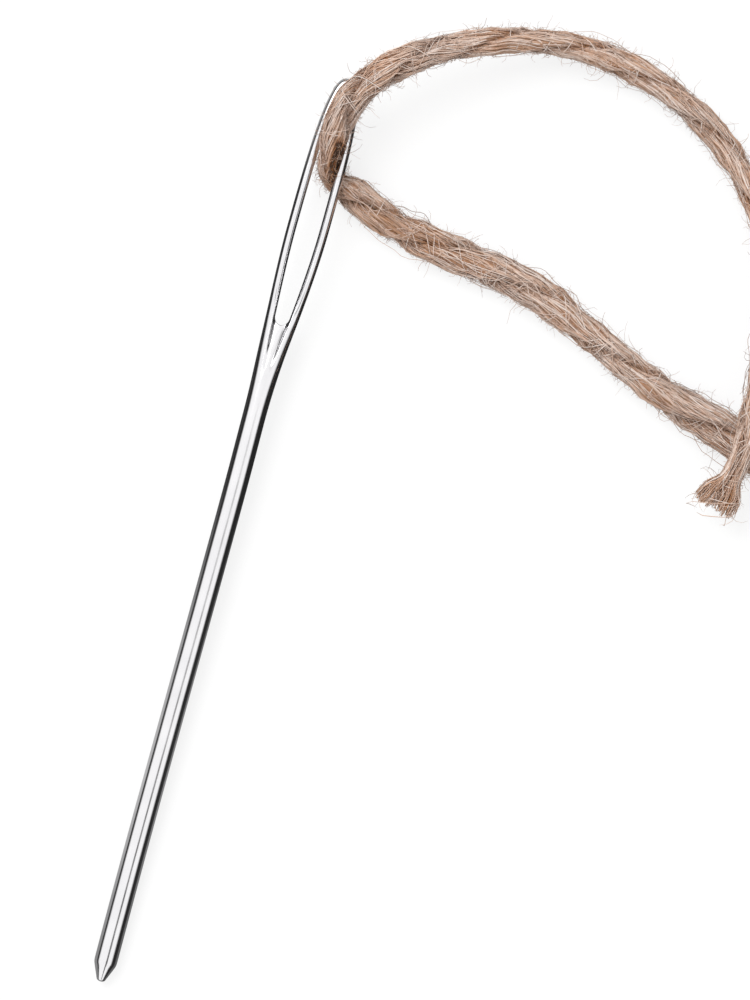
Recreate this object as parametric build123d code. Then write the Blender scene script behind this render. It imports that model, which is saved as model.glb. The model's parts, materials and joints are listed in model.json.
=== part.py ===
from build123d import *
import math
import os

# A large-eye yarn needle, lying on a table with a length of jute twine
# through its eye. Millimetres. The needle is made along +Y, from its point
# at zero to the top of its eye, with +Z square to the eye, and is then
# tipped until it lies on its point and on the twine below its eye.

# Needle: wire, point and eye
needle_length = 70.0
shank_diameter = 1.74
point_length = 1.4
nose_diameter = 0.54
nose_round_radius = 0.16
shoulder_round_radius = 2.4
slot_length = 18.35
slot_width = 1.72
slot_floor_width = 0.86
slot_corner_radius = 0.24
rail_width = 0.7
rail_thickness = 1.06
neck_length = 6.0
web_thickness = 0.56
rail_sink = 0.04
rail_root_length = 1.2
web_overrun = 1.1
cut_overrun = 1.0

# Places along the rails, as shares of the length that each one divides
low_bend_share = 0.2
high_bend_share = 0.27
waist_share = 0.72
arch_share = 0.93
waist_width_share = 0.99
arch_width_share = 0.78
crown_width_share = 0.33
neck_middle_share = 0.43
neck_middle_thickness_share = 0.79
arc_share = 0.45

# Twine: its section, how it is nipped in the eye, and its frayed ends
twine_diameter = 2.2
twine_sides = 12
grip_clearance = 0.16
rest_clearance = 0.2
grip_below_top = 6.7
brush_length = 2.6
brush_diameter = 3.1
grip_length_share = 1.04
brush_flare_shares = ((0.0, 0.0), (0.4, 0.45), (0.8, 1.0), (1.0, 0.8))

# Route of the twine through the eye. Each point is across the needle, along
# it from where the twine is nipped, and up from the table. With it goes how
# much the twine is nipped there, from round at 0 to its narrowest at 1.
bight_route = (
    ((0.44, 5.3, 4.86), 0.0),
    ((0.05, 3.7, 4.76), 0.1),
    ((-0.05, 2.1, 4.2), 0.75),
    ((-0.05, 0.75, 3.3), 1.0),
    ((0.0, 0.0, 2.35), 1.0),
    ((0.45, -0.65, 1.55), 0.65),
    ((1.35, -1.05, 1.13), 0.25),
    ((2.5, -1.35, 1.12), 0.0),
)

# Route of the long loop: over the eye, round, and over the tail to its end
loop_route = (
    (0.44, 5.3, 4.86),
    (1.45, 7.05, 4.94),
    (4.0, 9.6, 4.78),
    (8.8, 12.2, 3.6),
    (14.4, 13.8, 2.1),
    (20.5, 13.4, 1.2),
    (26.8, 10.9, 1.12),
    (31.75, 6.35, 1.12),
    (34.7, 1.1, 1.3),
    (35.4, -4.4, 2.3),
    (35.65, -8.9, 3.6),
    (35.7, -12.9, 3.56),
    (34.9, -15.65, 2.94),
)

# Route of the tail: from under the right rail, and under the loop
tail_route = (
    (2.5, -1.35, 1.12),
    (5.25, -2.7, 1.14),
    (10.2, -3.7, 1.12),
    (16.3, -4.2, 1.16),
    (22.8, -6.95, 1.12),
    (28.7, -9.7, 1.14),
    (34.7, -11.15, 1.12),
    (39.4, -13.3, 1.62),
)

# Sizes worked out from those above
shank_radius = shank_diameter / 2
twine_radius = twine_diameter / 2
slot_floor = needle_length - rail_width - slot_length
neck_start = slot_floor - neck_length
rail_offset = (slot_width + rail_width) / 2
root_offset = (shank_diameter - rail_width) / 2 - rail_sink
neck_root = neck_start - rail_root_length
low_bend = neck_start + neck_length * low_bend_share
high_bend = slot_floor + slot_length * high_bend_share
grip_place = needle_length - grip_below_top


def across(place):
    """The plane square to the needle at a place along it."""
    return Plane(origin=(0, place, 0), x_dir=(1, 0, 0), z_dir=(0, 1, 0))


def corner_radii(points):
    """As large an arc at each corner as its two runs leave room for."""
    radii = []
    for before, corner, after in zip(points, points[1:], points[2:]):
        run_in = Vector(corner) - Vector(before)
        run_out = Vector(after) - Vector(corner)
        turn = math.radians(run_in.get_angle(run_out))
        shorter = min(run_in.length, run_out.length)
        radii.append(arc_share * shorter / math.tan(turn / 2))
    return radii


def flare_offset(place):
    """How far a rail's middle stands off the axis where the neck widens."""
    share = (place - low_bend) / (high_bend - low_bend)
    return root_offset + (rail_offset - root_offset) * share


def make_shank():
    """The round wire, from its blunt nose to the neck, turned about +Y."""
    outline = FilletPolyline(
        (0, 0),
        (nose_diameter / 2, 0),
        (shank_radius, point_length),
        (shank_radius, neck_root),
        radius=(nose_round_radius, shoulder_round_radius),
    )
    back = Polyline((shank_radius, neck_root), (0, neck_root), (0, 0))
    return revolve(make_face(outline + back), Axis.Y)


def make_web():
    """The neck, which thins to the web between the gutters and ends at the slot."""
    middle = neck_start + neck_length * neck_middle_share
    end = slot_floor + web_overrun
    middle_width = flare_offset(middle) + rail_width / 2
    middle_thickness = shank_radius * neck_middle_thickness_share
    sections = [
        across(neck_root) * Circle(shank_radius),
        across(neck_start) * Circle(shank_radius),
        across(middle) * Ellipse(middle_width, middle_thickness),
        across(end) * Ellipse(flare_offset(end), web_thickness / 2),
    ]
    cut_end = end + cut_overrun
    cut_half = flare_offset(cut_end) - rail_width / 2
    slot = Polyline(
        (-cut_half, cut_end),
        (-slot_floor_width / 2, slot_floor),
        (slot_floor_width / 2, slot_floor),
        (cut_half, cut_end),
        close=True,
    )
    face = make_face(slot)
    corners = face.vertices().group_by(Axis.Y)[0]
    face = fillet(corners, slot_corner_radius)
    return loft(sections) - extrude(face, rail_thickness, both=True)


def make_rails():
    """The two rounded rails and the pointed arch that joins them, one swept bar."""
    right = [
        (crown_width_share * rail_offset, needle_length - rail_width / 2),
        (arch_width_share * rail_offset, slot_floor + slot_length * arch_share),
        (waist_width_share * rail_offset, slot_floor + slot_length * waist_share),
        (rail_offset, high_bend),
        (root_offset, low_bend),
        (root_offset, neck_root),
    ]
    left = [(-x, y) for x, y in reversed(right)]
    points = left + right
    path = FilletPolyline(*points, radius=corner_radii(points))
    section = Pos(left[0][0], 0) * Ellipse(rail_width / 2, rail_thickness / 2)
    return sweep(across(neck_root) * section, path)


def tip_angle():
    """The tilt, in degrees, at which the right rail clears the twine below it."""
    reach = grip_place - point_length
    drop = shank_radius - rail_thickness / 2
    rise = twine_diameter + rest_clearance
    return math.degrees(math.asin(rise / math.hypot(reach, drop)) - math.atan2(drop, reach))


def make_needle():
    """The shank and the eye, tipped, with the middle of their footprint at the origin."""
    tipped = Rot(X=tip_angle())
    shank = tipped * make_shank()
    eye = tipped * (make_web() + make_rails())
    box = Compound([shank, eye]).bounding_box()
    seat = Pos(-box.center().X, -box.center().Y, -box.min.Z)
    return seat * shank, seat * eye


def from_grip(points, eye):
    """A route's points, moved to where the twine is nipped in the eye."""
    grip = eye.bounding_box().max.Y - grip_below_top
    return [Vector(x, y + grip, z) for x, y, z in points]


def brush(end, outward):
    """The frayed end of the twine, which opens out like a small brush."""
    flare = (brush_diameter - twine_diameter) / 2
    sections = []
    for length, width in brush_flare_shares:
        place = end + outward * (brush_length * length)
        radius = twine_radius + flare * width
        sections.append(Plane(origin=place, z_dir=outward) * RegularPolygon(radius, twine_sides))
    return loft(sections, ruled=True)


def make_cord(name, points):
    """A tube of straight runs and tangent arcs, with a frayed end."""
    radii = corner_radii(points)
    path = FilletPolyline(*points, radius=radii)
    start = Plane(origin=points[0], z_dir=points[1] - points[0])
    outline = start * RegularPolygon(twine_radius, twine_sides)
    tube = sweep(outline, path)
    volume_share = tube.volume / (outline.area * path.length)
    print(name, "radii", [round(radius, 1) for radius in radii])
    print(name, "length", round(path.length, 2), "volume share", round(volume_share, 5))
    outward = (points[-1] - points[-2]).normalized()
    return tube + brush(points[-1], outward)


def make_bight(points, nips, first_run, last_run):
    """The short stretch of twine that the eye nips, one skin through its sections."""
    grip_radius = slot_width / 2 - grip_clearance
    runs = [(after - before).normalized() for before, after in zip(points, points[1:])]
    courses = [run_in + run_out for run_in, run_out in zip(runs, runs[1:])]
    courses = [first_run, *courses, last_run]
    turns = [2 * math.pi * corner / twine_sides for corner in range(twine_sides)]
    side = Vector(1, 0, 0)
    sections = []
    for place, nip, course in zip(points, nips, courses):
        along = course.normalized()
        side = (side - along * side.dot(along)).normalized()
        narrow = twine_radius + (grip_radius - twine_radius) * nip
        wide = twine_radius * (1 + (grip_length_share - 1) * nip)
        corners = [(narrow * math.cos(turn), wide * math.sin(turn)) for turn in turns]
        station = Plane(origin=place, x_dir=side, z_dir=along)
        sections.append(station * make_face(Polyline(*corners, close=True)))
    return loft(sections, ruled=True)


needle_shank, needle_eye = make_needle()
loop_points = from_grip(loop_route, needle_eye)
tail_points = from_grip(tail_route, needle_eye)
bight_points = from_grip([place for place, nip in bight_route], needle_eye)
bight_nips = [nip for place, nip in bight_route]

parts = {
    "needle_shank": needle_shank,
    "needle_eye": needle_eye,
    "twine_bight": make_bight(
        bight_points,
        bight_nips,
        loop_points[0] - loop_points[1],
        tail_points[1] - tail_points[0],
    ),
    "twine_loop": make_cord("twine_loop", loop_points),
    "twine_tail": make_cord("twine_tail", tail_points),
}

os.makedirs("parts", exist_ok=True)
for node, shape in parts.items():
    export_step(shape, f"parts/{node}.step")
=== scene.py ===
import json
import math

import bmesh
import bpy
import numpy as np
from bpy.props import FloatProperty, FloatVectorProperty, IntProperty, PointerProperty
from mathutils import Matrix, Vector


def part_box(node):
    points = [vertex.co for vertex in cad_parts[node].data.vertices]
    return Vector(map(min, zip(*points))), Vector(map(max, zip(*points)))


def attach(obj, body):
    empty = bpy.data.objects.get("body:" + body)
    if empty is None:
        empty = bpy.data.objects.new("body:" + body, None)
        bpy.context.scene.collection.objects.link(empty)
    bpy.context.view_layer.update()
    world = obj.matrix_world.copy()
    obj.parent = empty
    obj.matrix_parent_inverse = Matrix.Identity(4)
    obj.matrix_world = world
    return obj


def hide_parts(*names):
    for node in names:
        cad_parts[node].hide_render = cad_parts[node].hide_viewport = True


bl_info = {
    "name": "Threaded Yarn Needle",
    "version": (1, 0, 0),
    "blender": (4, 5, 0),
    "location": "View3D > Sidebar > Yarn Needle",
    "description": "Dresses a large-eye yarn needle and its jute twine around their CAD frame",
    "category": "Object",
}

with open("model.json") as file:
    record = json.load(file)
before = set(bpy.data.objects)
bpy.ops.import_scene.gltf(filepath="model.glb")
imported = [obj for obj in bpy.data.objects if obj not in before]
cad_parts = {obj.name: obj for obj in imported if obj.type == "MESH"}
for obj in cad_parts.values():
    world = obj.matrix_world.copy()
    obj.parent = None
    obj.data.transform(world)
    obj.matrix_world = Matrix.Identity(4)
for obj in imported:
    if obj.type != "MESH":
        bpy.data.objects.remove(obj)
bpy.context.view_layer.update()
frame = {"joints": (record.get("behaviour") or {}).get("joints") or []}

MM = 0.001
TURN = 2 * math.pi

# The view: straight down, turned so that the needle leans to the right
IMAGE_HIGH_MM = 74.8
IMAGE_MIDDLE_MM = (10.131, 5.270, 1.5)
IMAGE_TURN = math.radians(15.58)

# The needle's own frame: the middle of its nose, and the way it points
NOSE_MM = np.array([0.0, -34.9781, 0.8079])
NEEDLE_COURSE = np.array(frame["joints"][0]["axis"])

# Needle sizes in millimetres, along it from the nose
LENGTH, SHANK_RADIUS = 70.0, 0.87
POINT_LENGTH, NOSE_RADIUS, NOSE_ROUND = 1.4, 0.27, 0.16
NECK_START, NECK_END, SLOT_FLOOR, ARCH_START = 43.8, 58.6, 50.95, 58.6
EYE_HALF_WIDTH, RAIL_WIDTH, RAIL_HALF_THICKNESS = 1.56, 0.69, 0.53
NECK_THIN_END, HOLE_TOP, U_DEPTH = 55.5, 69.28, 0.6
GUTTER_START, GUTTER_DEPTH, GUTTER_WALL = 46.6, 0.42, 0.17
# The exponents of the eye's outline, of the slot's arch and of the U at the slot's floor
OUTER_RISE, OUTER_ROUND, INNER_RISE, INNER_ROUND, U_ROUND = 3.1, 3.0, 2.95, 2.1, 2.0
NOSE_POWER, SHOULDER_ROUND, EDGE_ROUND = 0.8, 0.06, 0.07
# How far the worn needle strays to the left of its own line, place by place
BOW = [
    (0.0, 0.0), (5.0, 0.06), (12.0, 0.12), (20.0, 0.14), (32.0, 0.15), (39.0, 0.18),
    (45.0, 0.26), (48.5, 0.26), (52.0, 0.18), (56.0, 0.13), (62.0, 0.11), (70.0, 0.1),
]
# The lines down the gutters, rougher and darkened as painted shade: where the left and right
# ones start, how wide they are, and the right one's place off the middle at its low end, its
# lean and its step at the slot
DULL_START_LEFT, DULL_START_RIGHT, DULL_WIDTH = 49.1, 47.3, 0.1
DULL_LOW_END, DULL_OFF, DULL_LEAN, DULL_STEP = 48.3, 0.27, 0.036, 0.17
# Over what length they start, and from where to where past the slot's floor the right one's
# step lies and both of them end
DULL_RISE, DULL_STEP_SPAN, DULL_END = 1.3, (-0.7, 0.5), (0.5, 1.8)
# Over what share of its way a gutter sinks gently, and how far past its full depth it goes
GUTTER_EASE, GUTTER_MOST = 0.5, 1.2
# From where to where past the slot's floor the neck's section turns into a rail's, and the
# least half-height of the slot's wall
RAILED, WALL_HIGH = (-0.1, 3.0), 0.22

# Stations along the needle's skin, how they are spread, and rays round it
NOSE_RINGS, POINT_RINGS, SHANK_RINGS, NECK_RINGS = 12, 30, 34, 46
FLOOR_RINGS, SIDE_RINGS, ARCH_RINGS = 28, 36, 90
POINT_RINGS_END, FLOOR_LEAD, NECK_GAP = 3.2, 0.35, 0.45
FLOOR_EASE, ARCH_EASE, ARCH_SAMPLES = 1.6, 1.5, 6000
OVER_RAYS, WALL_RAYS, RAY_PULL = 80, 16, 0.1
# Halvings, and the lengths they search between, for the arch's bar and for a ray
ARCH_HALVINGS, ARCH_SEARCH = 40, (0.05, 1.3)
RAY_HALVINGS, RAY_SEARCH = 36, (0.0, 4.0)

# The twine's route, as CAD has it, from where it is nipped in the eye
NIP_BELOW_TOP_MM = 6.7
NIP_Y_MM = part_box("needle_eye")[1].y / MM - NIP_BELOW_TOP_MM
LOOP_ROUTE = [
    (0.44, 5.3, 4.86), (1.45, 7.05, 4.94), (4.0, 9.6, 4.78), (8.8, 12.2, 3.6),
    (14.4, 13.8, 2.1), (20.5, 13.4, 1.2), (26.8, 10.9, 1.12), (31.75, 6.35, 1.12),
    (34.7, 1.1, 1.3), (35.4, -4.4, 2.3), (35.65, -8.9, 3.6), (35.7, -12.9, 3.56),
    (34.9, -15.65, 2.94),
]
BIGHT_ROUTE = [
    (0.05, 3.7, 4.76), (-0.05, 2.1, 4.2), (-0.05, 0.75, 3.3),
    (0.0, 0.0, 2.35), (0.45, -0.65, 1.55), (1.35, -1.05, 1.13),
]
TAIL_ROUTE = [
    (2.5, -1.35, 1.12), (5.25, -2.7, 1.14), (10.2, -3.7, 1.12), (16.3, -4.2, 1.16),
    (22.8, -6.95, 1.12), (28.7, -9.7, 1.14), (34.7, -11.15, 1.12), (39.4, -13.3, 1.62),
]
BRUSH_MM = 2.0
LINE_STEP_MM = 0.1
ROUTE_STEPS = 40

# Along the twine in millimetres, from the end of the loop's line: half its width
# on the table, and half its height
GIRTH = [
    (-2.6, 1.8, 1.25), (-1.2, 1.85, 1.3), (0.1, 1.5, 1.05), (1.3, 0.9, 0.82),
    (2.7, 0.74, 0.8), (5.0, 1.0, 0.95), (10.0, 1.0, 1.0), (24.0, 0.92, 0.95),
    (29.0, 1.0, 0.95), (34.0, 0.92, 0.92), (38.0, 1.0, 0.95), (43.5, 0.86, 0.9),
    (48.0, 0.98, 0.95), (52.0, 1.0, 1.0), (56.0, 1.2, 1.05), (59.5, 1.12, 1.05),
    (62.0, 1.14, 1.05), (63.2, 1.0, 1.08), (64.3, 0.8, 1.1), (65.5, 0.7, 1.12),
    (66.8, 0.72, 1.12),
    (68.4, 1.1, 1.08), (70.0, 1.25, 1.08), (73.5, 1.12, 1.05), (76.0, 1.3, 1.08),
    (79.0, 1.3, 1.08), (83.0, 1.3, 1.08), (87.0, 1.28, 1.08), (90.5, 1.08, 1.05),
    (94.0, 1.12, 1.05), (97.5, 1.28, 1.08), (101.0, 1.45, 1.08), (106.0, 1.4, 1.08),
    (108.0, 1.2, 1.05), (110.6, 1.55, 1.4),
]

# Where the crease between the plies faces up: half a turn lies between two of them
CREASES = [
    (-2.6, 0.0), (3.0, 0.0), (12.0, 1.0), (21.5, 2.0), (29.3, 3.0), (35.3, 4.0),
    (41.4, 5.0), (48.2, 6.0), (54.1, 7.0), (60.0, 8.0), (65.5, 9.0), (70.7, 10.0),
    (76.0, 11.0), (84.2, 12.0), (92.7, 13.0), (101.8, 14.0), (110.6, 14.8),
]
# Over how many steps of the line the twist and the girth are smoothed
SPIN_REACH, GIRTH_REACH = 20, 5
# How the girth swells and shrinks: waves by share, radians to a millimetre and start
KNOBS = ((0.035, 2.1, 1.0), (0.03, 3.3, 0.0))
# A ply's middle off the line and its own half-sizes, as shares of the twine's
PLY_OFFSET, PLY_DEPTH, PLY_WIDTH = 0.46, 0.54, 0.84
# Where the twine is parted into its three pieces, and how far they run into each other
PARTINGS_MM = (59.5, 69.0)
OVERLAP_MM = 2.8
PATH_BEYOND_MM = OVERLAP_MM - 2.4
# How far the strays and hairs, and the cords' paths, stop short of a free end, and how much
# further than the hairs the wisps do
HAIR_END_MM, PATH_END_MM, WISP_END_MM = 0.9, 1.3, 3.0
# The stretch with more hairs, in the eye, and how far before it the wisps stop
EYE_FUZZ_MM = (57.0, 68.0)
WISP_GAP_MM = 3.0
# Points lower than the first height are pressed together above the table, and a hair's or
# wisp's middle is held above the second
PRESS_MM, HAIR_FLOOR_MM = 0.1, 0.03

# The plies: bundles of fibres round a heart that is dark as painted shade, and how the fibres
# turn round the ply
BUNDLES, FIBRE_LAY = 9, 1.6
HEART_SHARE, HEART_RIPPLE, HEART_PAINTED_SHADE = 0.76, 0.04, 0.3
HEART_STEP_MM, HEART_END_MM, HEART_BEYOND_MM, HEART_SIDES = 0.35, 0.4, 0.3, 20
# The fibres: stations, lengths, half-widths, their place in a ply, and the frayed ends
FIBRE_STATIONS = 11
FIBRE_LENGTHS_MM = (6.0, 9.0)
FIBRE_HALF_WIDTHS_MM = (0.032, 0.07)
FIBRE_SKIN, FIBRE_DIVE = (0.8, 1.04), 0.3
FRAY_MM, FRAY_OVERRUN_MM, BRUSH_SPILL_MM = 2.0, 0.2, 2.5
FRAY_SPREAD, FRAY_WIDTH, RAGGED_MM = 1.05, 0.7, (0.5, 0.9)
# How steeply a strand widens from its ends and how wide it is there, and its thickness
FIBRE_TAPER, FIBRE_FLAT = (7, 0.25), 0.6
STRAY_TAPER, STRAY_FLAT, WISP_TAPER = (6, 0.3), 0.7, (6, 0.4)
# How loosely a fibre keeps to its bundle, how far it strays from it, and its waves: their
# lengths, and how far they swing round the ply and off it
BUNDLE_LOOSE, FIBRE_WANDER = 0.14, 0.55
WAVE_LENGTHS_MM, WAVE_TURN, WAVE_REACH = (2.0, 6.0), 0.1, 0.03
# Their shades, from 0 for the core to 1 for the palest
SHADE_MEAN, SHADE_SPREAD, BUNDLE_SPREAD, SHADE_LIMITS = 0.65, 0.14, 0.08, (0.05, 0.9)
# Painted shade: fibres lying deeper in the ply get a darker shade, and outer ones a paler one
PAINTED_SHADE_BY_SKIN, SKIN_MEAN = 1.3, 0.93
PALE_SHARE, PALE_SHADES = 0.07, (0.85, 1.0)
STRAY_SHADES, HAIR_SHADES, WISP_SHADES = (0.62, 1.05), (0.0, 0.7), (0.1, 0.9)
# How much darker the depths and the hollow in the eye are, as painted shade, and how much
# darker the stretch beyond the eye is
DEPTH_PAINTED_SHADE, HOLLOW_PAINTED_SHADOW, STRAY_HOLLOW_PAINTED_SHADOW, BROWN_DARK = 0.34, 0.95, 0.5, 0.16
DEPTH_SHARES = (0.42, 0.86)
HOLLOW_X_MM, HOLLOW_Y_MM = (0.0, 0.3, 0.9, 1.2), (26.6, 27.4, 29.8, 30.8)
BROWN_MIDDLE_MM, BROWN_REACH_MM = 72.5, 4.0
# Strays, hairs and wisps: stations, lengths and half-widths
STRAY_STATIONS, HAIR_STATIONS, WISP_STATIONS = 10, 5, 12
STRAY_LENGTHS_MM, WISP_LENGTHS_MM = (0.3, 4.5), (2.0, 8.0)
STRAY_HALF_WIDTHS_MM, HAIR_HALF_WIDTHS_MM = (0.018, 0.036), (0.013, 0.023)
WISP_HALF_WIDTHS_MM = (0.014, 0.026)
HAIR_SHORTEST_MM, HAIR_MEAN_MM, HAIR_LONGEST_MM = 0.22, 0.34, 2.2
# How far they turn round the twine; how much a hair bends, strays and waves, where it is
# rooted and how it leans; and a wisp's root and how far it bows, by mean, least and most
STRAY_CROSSING, WISP_CROSSING = 2.7, 0.9
HAIR_BEND, HAIR_STRAY, HAIR_WAVE, HAIR_ROOT, HAIR_LEAN = 3.0, 0.35, 0.06, 0.85, (0.1, 1.2)
WISP_ROOT, WISP_LIFT = 0.92, (0.22, 0.05, 0.7)
# On a piece's map: columns of strips, the gaps beside each strip along and across it, and
# the sliver that each end takes
MAP_COLUMNS, MAP_GAP_ALONG, MAP_GAP_ACROSS, MAP_SLIVER = 4, 0.02, 0.08, 0.01

# The jute's colours lie at these shades, and its shades are lifted this far off the darkest
JUTE_SPOTS, SHADE_LIFT = (0.0, 0.12, 0.43, 0.74, 1.0), 0.12
# The sizes of noise, in spots to a metre: the jute's, then the plating's
DRIFT_SCALE, FLECK_SCALE, GRAIN_SCALE = 170.0, 2600.0, 9000.0
WAVER_SCALE, PATCH_SCALE, LINE_SCALE = 190.0, 420.0, 7000.0
LINE_STRETCH = (1.0, 0.03, 1.0)
# Bumps: how far they stand out, in metres, and their strength
GRAIN_BUMP, LINE_BUMP = (3e-5, 0.35), (4e-6, 0.12)
# The jute's roughness, less a part for its shade; how vivid it is, plus a part for its drift,
# and the share of that on loose hairs
JUTE_ROUGH, ROUGH_BY_SHADE, JUTE_VIVID, VIVID_BY_DRIFT, HAIR_VIVID = 0.86, 0.22, 0.5, 1.1, 0.75
# The gutters' painted shade, a dark grey, how far it covers, and what adds to the
# plating's roughness
GUTTER_PAINTED_SHADE_LEVEL, GUTTER_PAINTED_SHADE_SHARE = 0.03, 0.85
ROUGH_BY_LINES, ROUGH_BY_PATCHES, ROUGH_BY_DULL = 0.05, 0.05, 0.3

# What reflections see, as (place, level) of a grey. The tent's black strip at the right and
# its thin seam, round the needle's course as shares of a turn; the seam's fade along it; and
# the dark of the horizon, by height
STRIP = [(0.276, 0.02), (0.316, 1.0), (0.66, 1.0), (0.702, 0.02), (0.82, 0.02), (0.86, 0.6)]
SEAM = [(0.512, 1.0), (0.528, 0.05), (0.555, 0.05), (0.569, 1.0)]
SEAM_FADE, SEAM_FADE_SCALE = [(0.225, 1.0), (0.62, 0.0)], -5.0
HORIZON = [(0.0, 0.05), (0.09, 1.0)]
# A painted reflection on the table, a grey card that only reflections see, across the needle
# and along it, with the table's span in metres
CARD_ACROSS = [(0.15, 0.15), (0.3, 1.0), (0.49, 1.0), (0.51, 0.45), (0.58, 0.45), (0.615, 0.03)]
CARD_ALONG = [
    (0.08, 0.3), (0.25, 0.6), (0.36, 0.5), (0.46, 0.2), (0.54, 0.05), (0.84, 0.05), (0.92, 0.45),
]
CARD_WIDE, CARD_LONG = 0.04, 0.08
CARD_DARK = 0.02

# The stage, in metres: the sensor's size is in millimetres
SENSOR_MM = 36.0
KEY_PLACE, KEY_SIZE = (-0.35, 0.3, 0.6), 0.5
TABLE_HALF, TABLE_SINK, TABLE_WHITE = 2.0, 1e-5, 1.01


class Wire:
    """A shader socket that can be added, multiplied and so on: each sign adds a Math node."""

    def __init__(self, tree, socket):
        self.tree, self.socket = tree, socket

    def _math(self, operation, first, second):
        return self.tree.add("ShaderNodeMath", {"operation": operation}, [first, second])

    def __add__(self, other):
        return self._math("ADD", self, other)

    def __sub__(self, other):
        return self._math("SUBTRACT", self, other)

    def __mul__(self, other):
        return self._math("MULTIPLY", self, other)

    def __rsub__(self, other):
        return self._math("SUBTRACT", other, self)

    __radd__ = __add__
    __rmul__ = __mul__


class Tree:
    """A node tree that nodes are added to by type, settings and socket values."""

    def __init__(self, owner):
        owner.use_nodes = True
        self.nodes, self.links = owner.node_tree.nodes, owner.node_tree.links
        self.nodes.clear()

    def add(self, kind, settings=None, inputs=(), output=0):
        """One node. inputs, which are values or Wires, come as a list in socket order or as a
        dict by the socket's name or number."""
        node = self.nodes.new(kind)
        for name, value in (settings or {}).items():
            if name == "stops":
                ramp = node.color_ramp
                while len(ramp.elements) < len(value):
                    ramp.elements.new(0.5)
                for element, (place, colour) in zip(ramp.elements, value):
                    element.position, element.color = place, colour
            else:
                setattr(node, name, value)
        pairs = inputs.items() if isinstance(inputs, dict) else enumerate(inputs)
        for key, value in pairs:
            if isinstance(value, Wire):
                self.links.new(value.socket, node.inputs[key])
            elif value is not None:
                node.inputs[key].default_value = value
        return Wire(self, node.outputs[output])

    def ramp(self, value, stops):
        """A colour ramp over a value, its stops given as (place, colour) in rising order."""
        return self.add("ShaderNodeValToRGB", {"stops": stops}, {"Fac": value})

    def greys(self, value, stops):
        """A ramp of greys over a value, its stops given as (place, level)."""
        return self.ramp(value, [(place, grey(level)) for place, level in stops])

    def mix(self, share, first, second, blend="MIX"):
        """Two colours mixed by a share, or joined by another of the Mix node's blends."""
        settings = {"data_type": "RGBA", "blend_type": blend}
        return self.add("ShaderNodeMix", settings, {0: share, 6: first, 7: second}, output=2)

    def shade(self, kind, surface):
        """The tree's output node, for a material or a world."""
        self.links.new(surface.socket, self.nodes.new(kind).inputs[0])


def grey(level):
    """An opaque grey."""
    return (level, level, level, 1.0)


def smoothstep(low, high, x):
    """0 below low, 1 above high, and 3t^2 - 2t^3 of the share t between them."""
    t = np.clip((x - low) / (high - low), 0, 1)
    return t * t * (3 - 2 * t)


def window(a, b, c, d, x):
    """0 up to a, rising to 1 at b, falling from c and 0 from d on, by two smoothsteps."""
    return smoothstep(a, b, x) * (1 - smoothstep(c, d, x))


def soft_min(a, b, k):
    """The smaller of two values, with the corner between them rounded over about k."""
    return (a + b - np.sqrt((a - b) ** 2 + k * k)) / 2


def tapered(t, slope, start):
    """A strand's width: start at both ends, rising by slope for each share t, and 1 at most."""
    return np.clip(np.minimum(t, 1 - t) * slope + start, 0, 1)


def eased(values, reach):
    """A row of values, each averaged with its neighbours up to reach away, by a Hann window."""
    weights = np.hanning(2 * reach + 1)
    return np.convolve(np.pad(values, reach, mode="edge"), weights / weights.sum(), mode="valid")


def unit(v):
    """Vectors scaled to a length of 1."""
    return v / np.maximum(np.linalg.norm(v, axis=-1, keepdims=True), 1e-12)


def grid_faces(rows, columns, first=0):
    """The quads of a grid of points numbered row by row."""
    i, j = np.mgrid[: rows - 1, : columns - 1].reshape(2, -1)
    corner = first + i * columns + j
    return np.stack([corner, corner + 1, corner + columns + 1, corner + columns], axis=1)


def new_piece(name, points_mm, faces, body, material):
    """A smooth-shaded mesh object at the origin, riding on a CAD body."""
    mesh = bpy.data.meshes.new(name)
    mesh.from_pydata((points_mm * MM).tolist(), [], faces)
    mesh.shade_smooth()
    mesh.materials.append(material)
    piece = bpy.data.objects.new(name, mesh)
    bpy.context.scene.collection.objects.link(piece)
    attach(piece, body)
    return piece


def mark(mesh, name, values):
    """A value for each point of the mesh, which its material reads by name."""
    values = np.concatenate(values).astype(np.float32)
    mesh.attributes.new(name, "FLOAT", "POINT").data.foreach_set("value", values)


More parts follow.
